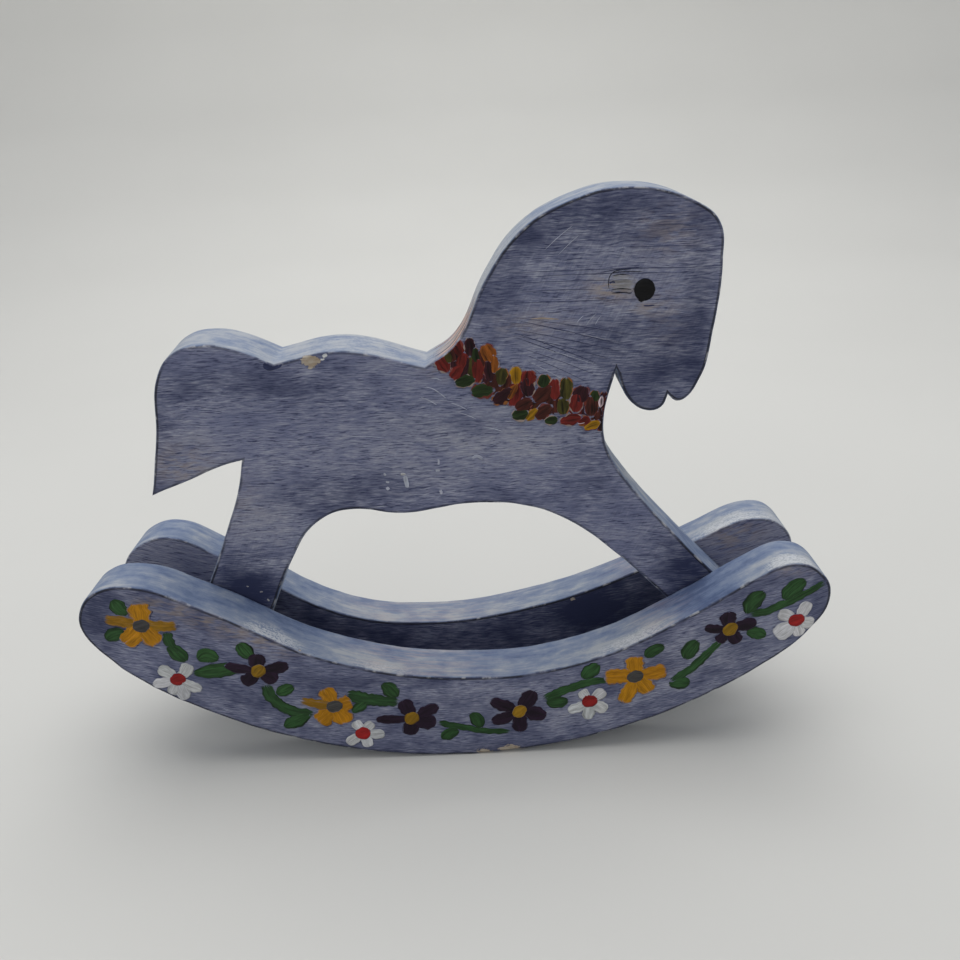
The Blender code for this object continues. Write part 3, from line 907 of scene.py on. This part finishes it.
def paint_rocker_flowers(canvas, prefix, seed):
    """The vine and the three kinds of flower along a rocker's face."""
    rng = random.Random(seed)
    vine = Strokes(canvas, seed)
    for line, width in STEMS:
        vine.add(line, 1.3 * width, stem_profile, STEM, height=0.16, dry=0.42, ragged=0.3,
                 lift=0.0, pooled=-0.7)
    for line, width in LEAVES:
        vine.add(line, 1.2 * width, leaf_profile, LEAF, height=0.18, dry=0.3, ragged=0.22,
                 lift=0.0, pooled=-0.95)
    objects = [vine.finish(prefix + "_leaves")]
    for offset, (kind, flowers, petal, centre_style) in enumerate(FLOWER_KINDS, 1):
        lean, reach, centre_width, centre_colour, centre_dry = centre_style
        strokes = Strokes(canvas, seed + offset)
        for centre, petals in flowers:
            for degrees, petal_reach, petal_width in petals:
                width, profile, colour, settings = petal(petal_width)
                strokes.add(petal_line(centre, degrees, petal_reach, rng), width, profile, colour, **settings)
            across = [away(centre, lean, reach), centre, away(centre, lean - 180, reach)]
            strokes.add(across, centre_width, round_profile, centre_colour, height=CENTRE_HEIGHT,
                        dry=centre_dry, ragged=0.2, lift=CENTRE_LIFT)
        objects.append(strokes.finish(f"{prefix}_{kind}_flowers"))
    return objects


def paint_garland(canvas, prefix, seed):
    """The band of short overlapping dabs round the neck."""
    band = Strokes(canvas, seed)
    for index, (colour, x, z, width, length, lean) in enumerate(GARLAND_DABS):
        dx, dz = math.sin(math.radians(lean)) * length / 2, math.cos(math.radians(lean)) * length / 2
        line = [(x - dx, z - dz), (x, z), (x + dx, z + dz)]
        under = [(x - 1.12 * dx, z - 1.12 * dz), (x, z), (x + 1.12 * dx, z + 1.12 * dz)]
        band.add(under, width * 1.36, leaf_profile, GARLAND_UNDER[index % 3], height=0.16, dry=0.72,
                 ragged=0.4,
                 lift=0.006 * index)
        band.add(line, width * 1.14, leaf_profile, GARLAND[colour], height=0.36, dry=0.42, ragged=0.3,
                 lift=0.006 * index, pooled=1.0)
    return band.finish(prefix + "_garland")


def paint_neck_edge(board, seed):
    """Thin streaks of the garland's paint, dragged over the sawn edge at the back of the neck."""
    edge = Strokes(EdgeCanvas(board, (12.0, 158.0)), seed)
    for start, end, y, width, colour in NECK_EDGE_STREAKS:
        edge.add([(start - 2, y), ((start + end) / 2, y + 0.3), (end + 3, y - 0.3)], 0.7 * width,
                 leaf_profile, colour,
                 height=0.1, dry=0.84, ragged=0.3)
    return edge.finish("neck_edge_streaks")


def paint_eye(canvas, prefix, seed):
    """A round near-black eye with a small drip below it."""
    eye = Strokes(canvas, seed)
    eye.add([(65.2, 160.6), (65.0, 159.4), (64.9, 158.6)], 2.0, dab_profile, EYE_BLACK, height=0.3, dry=0.0,
            ragged=0.05)
    eye.add([(62.6, 162.6), (66.0, 162.5), (69.4, 162.4)], 7.1, round_profile, EYE_BLACK, height=0.5,
            dry=0.0, ragged=0.03)
    return eye.finish(prefix + "_eye")


def paint_scratches(canvas, prefix, seed):
    marks = Strokes(canvas, seed)
    for start, end, width, colour in SCRATCHES + NECK_COMB:
        middle = ((start[0] + end[0]) / 2, (start[1] + end[1]) / 2 + 0.3)
        dry = 0.8 if colour == "dry" else 0.6
        marks.add([start, middle, end], width, leaf_profile, SLATE[colour], height=0.05, dry=dry,
                  ragged=0.5, lift=0.02)
    for line, width, colour, dry in FACE_MARKS:
        marks.add(line, width, dab_profile, colour, height=0.05, dry=dry, ragged=0.3, lift=0.0)
    return marks.finish(prefix + "_scratches")


# ---------------------------------------------------------------------------------------------
# Materials

class Nodes:
    """Short names for building a node tree."""

    def __init__(self, tree):
        self.tree = tree

    def new(self, kind, **settings):
        node = self.tree.nodes.new(kind)
        for key, value in settings.items():
            setattr(node, key, value)
        return node

    def plug(self, socket, value):
        if isinstance(value, bpy.types.NodeSocket):
            self.tree.links.new(value, socket)
        else:
            socket.default_value = value

    def attribute(self, name, output="Fac"):
        return self.new("ShaderNodeAttribute", attribute_name=name).outputs[output]

    def math(self, operation, a, b=0.0, clamp=False):
        node = self.new("ShaderNodeMath", operation=operation, use_clamp=clamp)
        self.plug(node.inputs[0], a)
        self.plug(node.inputs[1], b)
        return node.outputs[0]

    def scaled(self, vector, scale):
        node = self.new("ShaderNodeVectorMath", operation="MULTIPLY")
        self.plug(node.inputs[0], vector)
        node.inputs[1].default_value = scale
        return node.outputs[0]

    def noise(self, vector, scale, detail=2.0, roughness=0.55):
        node = self.new("ShaderNodeTexNoise")
        self.plug(node.inputs["Vector"], self.scaled(vector, scale))
        node.inputs["Scale"].default_value = 1.0
        node.inputs["Detail"].default_value = detail
        node.inputs["Roughness"].default_value = roughness
        return node.outputs[0]

    def step(self, value, low, high):
        """0 below low, 1 above high, smooth between (or the other way round if low > high)."""
        node = self.new("ShaderNodeMapRange", interpolation_type="SMOOTHSTEP")
        self.plug(node.inputs[0], value)
        if low < high:
            limits = (low, high, 0.0, 1.0)
        else:
            limits = (high, low, 1.0, 0.0)
        for index, limit in enumerate(limits):
            node.inputs[index + 1].default_value = limit
        return node.outputs[0]

    def swayed(self, vector, length, amount):
        """The vector with its z moved gently up and down, so that lines drawn from it run wavy."""
        wave = self.math("SUBTRACT", self.noise(vector, (1 / length, 0.3, 1 / length), 1.0), 0.5)
        offset = self.new("ShaderNodeCombineXYZ")
        self.plug(offset.inputs[2], self.math("MULTIPLY", wave, amount))
        node = self.new("ShaderNodeVectorMath", operation="ADD")
        self.plug(node.inputs[0], vector)
        self.plug(node.inputs[1], offset.outputs[0])
        return node.outputs[0]

    def turned(self, vector, degrees):
        node = self.new("ShaderNodeVectorRotate", rotation_type="Y_AXIS")
        self.plug(node.inputs["Vector"], vector)
        node.inputs["Angle"].default_value = math.radians(degrees)
        return node.outputs[0]

    def ramp(self, value, stops):
        node = self.new("ShaderNodeValToRGB")
        self.plug(node.inputs[0], value)
        elements = node.color_ramp.elements
        while len(elements) < len(stops):
            elements.new(0.5)
        for element, (position, colour) in zip(elements, stops):
            element.position = position
            element.color = (*linear(colour), 1)
        return node.outputs[0]

    def mix(self, factor, a, b, blend="MIX"):
        node = self.new("ShaderNodeMix", data_type="RGBA", blend_type=blend)
        self.plug(node.inputs["Factor"], factor)
        for socket, value in ((node.inputs[6], a), (node.inputs[7], b)):
            self.plug(socket, value if isinstance(value, bpy.types.NodeSocket) else (*linear(value), 1))
        return node.outputs[2]

    def total(self, *terms):
        """A weighted sum of sockets, from (weight, socket) pairs."""
        result = None
        for weight, socket in terms:
            part = self.math("MULTIPLY", socket, weight)
            result = part if result is None else self.math("ADD", result, part)
        return result


def slate_paint_group():
    """The boards' paint: colour, roughness and height, for faces and sawn edges alike."""
    tree = bpy.data.node_groups.new("slate_paint", "ShaderNodeTree")
    for name, kind in (("Color", "NodeSocketColor"), ("Roughness", "NodeSocketFloat"),
                       ("Height", "NodeSocketFloat")):
        tree.interface.new_socket(name, in_out="OUTPUT", socket_type=kind)
    n = Nodes(tree)
    face_co, band_co = n.attribute("face_co", "Vector"), n.attribute("band_co", "Vector")
    rim, inset, upstroke = n.attribute("rim"), n.attribute("inset"), n.attribute("upstroke")
    zone_colour = n.new("ShaderNodeAttribute", attribute_name="zones")
    zone = n.new("ShaderNodeSeparateColor")
    n.plug(zone.inputs[0], zone_colour.outputs["Color"])
    dark, warm, pale = zone.outputs[0], zone.outputs[1], zone.outputs[2]
    worn = zone_colour.outputs["Alpha"]

    wavy = n.swayed(face_co, 9, 1.6)
    fine = n.noise(wavy, (1 / 4.2, 0.3, 1 / 0.36), 2.0, 0.6)
    streak = n.noise(wavy, (1 / 12, 0.3, 1 / 0.9), 2.0, 0.6)
    mottle = n.noise(face_co, (1 / 15, 0.3, 1 / 8), 4.0, 0.6)
    hatch = n.noise(n.turned(wavy, 62), (1 / 7, 0.3, 1 / 0.7), 3.0)
    tone = n.total((0.46, mottle), (0.3, streak), (0.6, fine), (0.3, pale))
    face = n.ramp(n.math("SUBTRACT", tone, 0.19), (
        (0.26, SLATE["navy"]), (0.48, SLATE["slate"]), (0.68, SLATE["light"]), (0.95, SLATE["warm_grey"])))
    dry_zone = n.step(n.total((0.7, mottle), (0.3, pale)), 0.25, 0.5)
    grain = n.noise(wavy, (1 / 2.0, 0.3, 1 / 0.28), 1.0)
    dry = n.math("MULTIPLY", n.step(n.total((0.6, fine), (0.4, grain)), 0.545, 0.61), dry_zone)
    face = n.mix(n.math("MULTIPLY", dry, 0.48), face, SLATE["dry"])
    hatched = n.math("MULTIPLY", n.step(hatch, 0.56, 0.68), upstroke)
    face = n.mix(n.math("MULTIPLY", hatched, 0.24, clamp=True), face, SLATE["dry"])
    cut = n.math("MULTIPLY", n.step(hatch, 0.45, 0.34), upstroke)
    face = n.mix(n.math("MULTIPLY", cut, 0.22, clamp=True), face, SLATE["groove"])
    groove = n.math("MULTIPLY", n.step(n.total((0.65, fine), (0.35, grain)), 0.455, 0.39),
                    n.step(streak, 0.75, 0.35))
    face = n.mix(n.math("MULTIPLY", groove, 0.85), face, SLATE["groove"])
    warmth = n.math("MULTIPLY", warm, n.step(n.noise(face_co, (1 / 5, 0.3, 1 / 1.4), 3.0), 0.38, 0.6))
    face = n.mix(warmth, face, SLATE["tan"])
    # The dark zone lays deep slate over the faces: darker paint, and on the far rocker's inner face partly
    # painted shade.
    deep_paint_and_shade = n.total((1.5, n.math("SUBTRACT", mottle, 0.5)), (0.9, n.math("SUBTRACT", fine, 0.5)))
    deep_paint_and_shade = n.math("SUBTRACT", dark, n.math("MULTIPLY", n.step(dark, 0.02, 0.3), deep_paint_and_shade), clamp=True)
    face = n.mix(deep_paint_and_shade, face, SLATE["deep"])
    line_noise = n.noise(face_co, (1 / 6, 0.3, 1 / 6), 2.0)
    near_edge = n.step(inset, 1.35, 0.7)
    lined = n.math("MULTIPLY", near_edge, n.total((0.6, n.step(line_noise, 0.35, 0.6)), (2.0, dark)),
                   clamp=True)
    face = n.mix(n.math("MULTIPLY", lined, 0.85), face, SLATE["black_line"])

    band_fine = n.noise(band_co, (1 / 9, 1 / 9, 1 / 0.6), 2.0, 0.55)
    band_streak = n.noise(band_co, (1 / 26, 1 / 26, 1 / 2.4), 3.0)
    band_mottle = n.noise(band_co, (1 / 10, 1 / 10, 1 / 5), 4.0, 0.65)
    band_tone = n.total((1.1, band_mottle), (0.45, band_streak), (0.2, band_fine), (0.5, pale))
    band_tone = n.math("SUBTRACT", n.math("SUBTRACT", band_tone, n.math("MULTIPLY", dark, 0.6)), 0.4)
    band = n.ramp(band_tone, (
        (0.2, SLATE["edge_deep"]), (0.42, SLATE["edge_blue"]), (0.62, SLATE["edge_mid"]),
        (0.86, SLATE["edge_light"])))
    speckle = n.noise(band_co, (1 / 0.9, 1 / 0.9, 1 / 0.5), 2.0)
    scumble = n.step(n.total((0.4, band_fine), (0.7, speckle), (0.25, pale)), 0.68, 0.76)
    scumble = n.math("MULTIPLY", scumble, n.step(pale, 0.45, 0.78))
    band = n.mix(n.math("MULTIPLY", scumble, 0.7), band, SLATE["edge_white"])
    band = n.mix(n.math("MULTIPLY", warm, n.step(band_fine, 0.42, 0.6)), band, SLATE["rose"])

    edge_amount = n.step(n.total((1.0, rim), (0.35, n.math("SUBTRACT", line_noise, 0.5))), 0.35, 0.65)
    colour = n.mix(edge_amount, face, band)
    arris = n.math("MULTIPLY", n.step(rim, 0.05, 0.3), n.step(rim, 0.95, 0.6))
    rubbed = n.math("MULTIPLY", arris, n.step(n.noise(face_co, (1 / 4, 0.3, 1 / 4), 3.0), 0.54, 0.68))
    colour = n.mix(n.math("MULTIPLY", rubbed, 0.5), colour, SLATE["chalk"])
    stained = n.math("MULTIPLY", arris, n.step(n.noise(face_co, (1 / 5, 0.3, 1 / 5), 3.0), 0.5, 0.4))
    colour = n.mix(n.math("MULTIPLY", stained, 0.55), colour, SLATE["groove"])
    flake = n.noise(face_co, (1 / 2.2, 0.3, 1 / 1.3), 3.0, 0.6)
    chipped = n.total((1.0, worn), (1.5, n.math("SUBTRACT", flake, 0.5)),
                      (0.5, n.math("SUBTRACT", fine, 0.5)))
    ring = n.math("MULTIPLY", n.step(chipped, 0.24, 0.36), n.step(worn, 0.02, 0.1))
    colour = n.mix(n.math("MULTIPLY", ring, 0.4), colour, SLATE["groove"])
    bare = n.ramp(n.total((0.5, flake), (0.5, fine)),
                  ((0.35, SLATE["bare_wood"]), (0.65, SLATE["pale_wood"])))
    colour = n.mix(n.math("MULTIPLY", n.step(chipped, 0.36, 0.5), n.step(worn, 0.02, 0.12)), colour, bare)

    height = n.mix(rim, n.total((0.5, fine), (0.3, grain), (0.3, streak), (0.2, mottle)),
                   n.total((0.7, band_fine), (0.3, speckle)))
    rough = n.total((0.35, fine), (0.3, mottle))
    rough = n.math("ADD", rough, 0.3)
    out = n.new("NodeGroupOutput")
    n.plug(out.inputs["Color"], colour)
    n.plug(out.inputs["Roughness"], rough)
    n.plug(out.inputs["Height"], height)
    return tree


def paint_base(name, specular):
    material = bpy.data.materials.new(name)
    material.use_nodes = True
    n = Nodes(material.node_tree)
    shader = material.node_tree.nodes["Principled BSDF"]
    shader.inputs["IOR"].default_value = 1.46
    shader.inputs["Specular IOR Level"].default_value = specular
    group = n.new("ShaderNodeGroup", node_tree=bpy.data.node_groups["slate_paint"])
    return material, n, shader, group


def bump_into(n, shader, height, strength, distance):
    bump = n.new("ShaderNodeBump")
    bump.inputs["Strength"].default_value = strength
    bump.inputs["Distance"].default_value = distance
    n.plug(bump.inputs["Height"], height)
    n.plug(shader.inputs["Normal"], bump.outputs[0])


def board_material():
    material, n, shader, group = paint_base("slate_painted_wood", 0.28)
    n.plug(shader.inputs["Base Color"], group.outputs["Color"])
    n.plug(shader.inputs["Roughness"], group.outputs["Roughness"])
    bump_into(n, shader, group.outputs["Height"], 0.6, 0.00035)
    return material


def stroke_material():
    """Thick strokes whose dry ends and edges let the paint beneath show through."""
    material, n, shader, group = paint_base("brush_strokes", 0.18)
    co = n.attribute("stroke_co", "Vector")
    uv = n.new("ShaderNodeSeparateXYZ")
    n.plug(uv.inputs[0], n.attribute("stroke_uv", "Vector"))
    tint = n.new("ShaderNodeAttribute", attribute_name="stroke_colour")
    hairs = n.noise(co, (1 / 9, 1 / 0.32, 1), 2.0, 0.6)
    body = n.noise(co, (1 / 4, 1 / 1.2, 1), 2.0)
    edge = n.math("MAXIMUM", n.math("ABSOLUTE", uv.outputs[1]),
                  n.math("ABSOLUTE", n.total((2.0, n.math("SUBTRACT", uv.outputs[0], 0.5)))))
    lost = n.total((0.75, hairs), (0.5, n.math("POWER", edge, 6.0)), (0.5, tint.outputs["Alpha"]),
                   (0.2, body))
    cover = n.step(lost, 1.12, 0.92)
    lift = n.total((0.6, hairs), (0.6, body))
    pooling = n.math("MULTIPLY", uv.outputs[2], n.math("SUBTRACT", n.math("POWER", edge, 2.5), 0.3))
    brightness = n.new("ShaderNodeHueSaturation")
    n.plug(brightness.inputs["Color"], tint.outputs["Color"])
    bristles = n.math("SUBTRACT", n.noise(co, (1 / 7, 1 / 0.8, 1), 2.0), 0.5)
    bristled = n.math("MULTIPLY", n.math("MULTIPLY", uv.outputs[2], bristles), 2.4)
    value = n.math("ADD", n.total((2.1, lift), (0.7, pooling), (1.0, bristled)), -0.22)
    n.plug(brightness.inputs["Value"], n.math("MAXIMUM", value, 0.15))
    colour = n.mix(cover, group.outputs["Color"], brightness.outputs[0])
    n.plug(shader.inputs["Base Color"], colour)
    rough = n.math("ADD", n.total((0.35, hairs), (-0.12, cover)), 0.34)
    n.plug(shader.inputs["Roughness"], rough)
    bump_into(n, shader, n.total((0.7, hairs), (0.3, body)), 0.5, 0.0003)
    return material


def steel_material():
    material = bpy.data.materials.new("panel_pin_steel")
    material.use_nodes = True
    n = Nodes(material.node_tree)
    shader = material.node_tree.nodes["Principled BSDF"]
    shader.inputs["Metallic"].default_value = 1.0
    place = n.new("ShaderNodeTexCoord").outputs["Object"]
    drawn = n.noise(place, (4000, 300, 4000), 2.0)
    n.plug(shader.inputs["Base Color"], n.ramp(drawn, ((0.3, (110, 110, 112)), (0.7, (176, 176, 178)))))
    n.plug(shader.inputs["Roughness"], n.math("ADD", n.math("MULTIPLY", drawn, 0.3), 0.2))
    bump_into(n, shader, drawn, 0.2, 0.00005)
    return material


def floor_material():
    material = bpy.data.materials.new("pale_paper")
    material.use_nodes = True
    n = Nodes(material.node_tree)
    shader = material.node_tree.nodes["Principled BSDF"]
    shader.inputs["Specular IOR Level"].default_value = 0.2
    place = n.new("ShaderNodeTexCoord").outputs["Object"]
    cloud = n.noise(place, (3, 3, 3), 2.0)
    n.plug(shader.inputs["Base Color"], n.ramp(cloud, ((0.3, (209, 208, 203)), (0.7, (212, 211, 206)))))
    n.plug(shader.inputs["Roughness"], n.math("ADD", n.math("MULTIPLY", cloud, 0.1), 0.75))
    return material


slate_paint_group()
board_paint = board_material()
stroke_paint = stroke_material()
pin_steel = steel_material()

# ---------------------------------------------------------------------------------------------
# Build

SLOT_OF = {"horse_body": "horse_wood", "near_rocker": "near_rocker_wood", "far_rocker": "far_rocker_wood"}


def settle(obj, material):
    obj.data.materials.append(material)
    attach(obj, "root")


for board in BOARDS:
    solid = board_mesh(board)
    settle(solid, board_paint)
    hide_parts(board.node)

horse_near, horse_far = Canvas(horse, False), Canvas(horse, True)
for canvas, prefix in ((horse_near, "near"), (horse_far, "far")):
    settle(paint_garland(canvas, prefix, 51), stroke_paint)
    settle(paint_eye(canvas, prefix, 61), stroke_paint)
    settle(paint_scratches(canvas, prefix, 71), stroke_paint)
settle(paint_neck_edge(horse, 81), stroke_paint)
for board, canvas, prefix in (
    (near_rocker, Canvas(near_rocker, False), "near_rocker"),
    (far_rocker, Canvas(far_rocker, True), "far_rocker"),
):
    for obj in paint_rocker_flowers(canvas, prefix, 31 if board is near_rocker else 32):
        settle(obj, stroke_paint)

for name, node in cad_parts.items():
    if name not in SLOT_OF:
        node.data.materials.clear()
        node.data.materials.append(pin_steel)

# ---------------------------------------------------------------------------------------------
# Floor, light and camera

STUDIO_PROFILE = ((0.02, 0.0), (0.75, 0.0), (1.05, 0.02), (1.35, 0.09), (1.6, 0.2), (1.75, 0.36),
                  (1.82, 0.6), (1.84, 1.0))


def make_studio():
    """A pale floor that curves up into a round wall."""
    bm = bmesh.new()
    middle = bm.verts.new((0, 0, 0))
    previous = None
    for radius, height in STUDIO_PROFILE:
        ring = [
            bm.verts.new((radius * math.cos(2 * math.pi * k / 96), radius * math.sin(2 * math.pi * k / 96),
                          height))
            for k in range(96)
        ]
        for k in range(96):
            if previous is None:
                bm.faces.new((middle, ring[k], ring[(k + 1) % 96]))
            else:
                bm.faces.new((previous[k], ring[k], ring[(k + 1) % 96], previous[(k + 1) % 96]))
        previous = ring
    mesh = bpy.data.meshes.new("studio_floor")
    bm.to_mesh(mesh)
    bm.free()
    mesh.polygons.foreach_set("use_smooth", [True] * len(mesh.polygons))
    mesh.materials.append(floor_material())
    obj = bpy.data.objects.new("studio_floor", mesh)
    bpy.context.scene.collection.objects.link(obj)


def area_light(name, place, target, size, watts):
    light = bpy.data.lights.new(name, "AREA")
    light.shape = "DISK"
    light.size = size
    light.energy = watts
    obj = bpy.data.objects.new(name, light)
    aim = (Vector(target) - Vector(place)).to_track_quat("-Z", "Y")
    obj.matrix_world = Matrix.Translation(place) @ aim.to_matrix().to_4x4()
    bpy.context.scene.collection.objects.link(obj)


make_studio()
area_light("overhead", (0.0, 0.2, 1.15), (0.0, 0.0, 0.08), 1.5, 10.7)
area_light("front_fill", (-0.3, -1.0, 0.6), (0.0, 0.0, 0.1), 0.8, 1.2)
area_light("backdrop_wash", (0.0, 0.95, 0.95), (0.0, 1.6, 0.2), 0.5, 2.9)
world = bpy.data.worlds.new("pale_room")
world.use_nodes = True
world.node_tree.nodes["Background"].inputs[0].default_value = (0.9, 0.93, 1.0, 1)
world.node_tree.nodes["Background"].inputs[1].default_value = 0.46
bpy.context.scene.world = world

# A scratch script worked the camera out from a vanishing point set by hand, an assumed lens and the boards'
# assumed thickness, and turned it with the horse, which then stands level.
CAMERA_PLACE = (13.418, -314.824, 223.767)
CAMERA_HEADING = 0.497
CAMERA_PITCH = 22.090
CAMERA_ROLL = -2.790
camera_data = bpy.data.cameras.new("camera")
camera_data.sensor_width = 36.0
camera_data.lens = 36.04
camera_data.clip_start = 0.01
camera = bpy.data.objects.new("camera", camera_data)
camera.matrix_world = (
    Matrix.Translation(Vector(CAMERA_PLACE) * MM)
    @ Matrix.Rotation(math.radians(CAMERA_HEADING), 4, "Z")
    @ Matrix.Rotation(math.radians(90 - CAMERA_PITCH), 4, "X")
    @ Matrix.Rotation(math.radians(CAMERA_ROLL), 4, "Z")
)
bpy.context.scene.collection.objects.link(camera)
bpy.context.scene.camera = camera
bpy.context.scene.view_settings.view_transform = "Standard"
